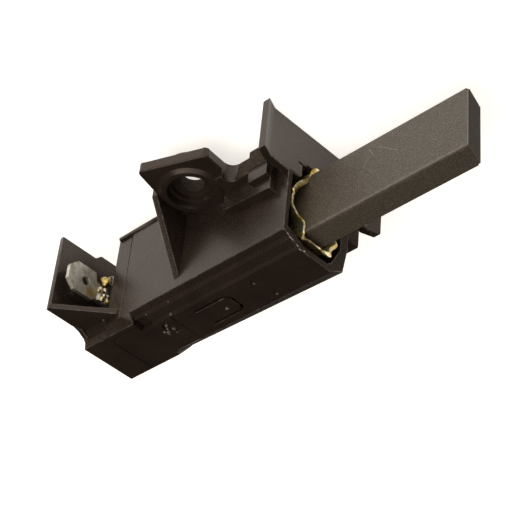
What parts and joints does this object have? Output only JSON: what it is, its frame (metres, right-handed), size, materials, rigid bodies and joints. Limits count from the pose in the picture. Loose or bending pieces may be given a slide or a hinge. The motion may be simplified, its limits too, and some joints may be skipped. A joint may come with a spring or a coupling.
{
  "type": "carbon brush",
  "caption": "Carbon brush in a moulded box holder with a screw ear, a locating flange at the mouth, a brass guide and a push-on blade in a rear pocket.",
  "frame": {"origin": "on the screw hole's axis, in the face of the boss that seats on the motor's end frame", "axes": "+X along the brush and out of the mouth, +Y towards the side with the ear and the blade, +Z away from the end frame"},
  "size_m": [0.0844, 0.0362, 0.0259],
  "materials": {
    "moulding": "satin black-brown thermoset moulding",
    "brass_sheet": "bare folded sheet",
    "carbon": "ground, grainy",
    "copper_powder": "matt, pressed powder",
    "spring_steel": "drawn wire",
    "copper_braid": "braided strands",
    "tinned_brass": "tinned sheet with a brown stain"
  },
  "bodies": {
    "holder": {"holder_body": "moulding", "guide_tube": "brass_sheet", "terminal_blade": "tinned_brass", "pressure_spring": "spring_steel", "pigtail": "copper_braid"},
    "brush": {"carbon_block": "carbon", "shunt_plug": "copper_powder"}
  },
  "joints": [
    {"name": "brush_slide", "type": "slide", "parent": "holder", "child": "brush", "axis": [-1, 0, 0], "range_m": [0, 0.026], "stiffness_N_per_m": 60, "springref_m": -0.01, "deforming": ["pressure_spring", "pigtail"]}
  ]
}
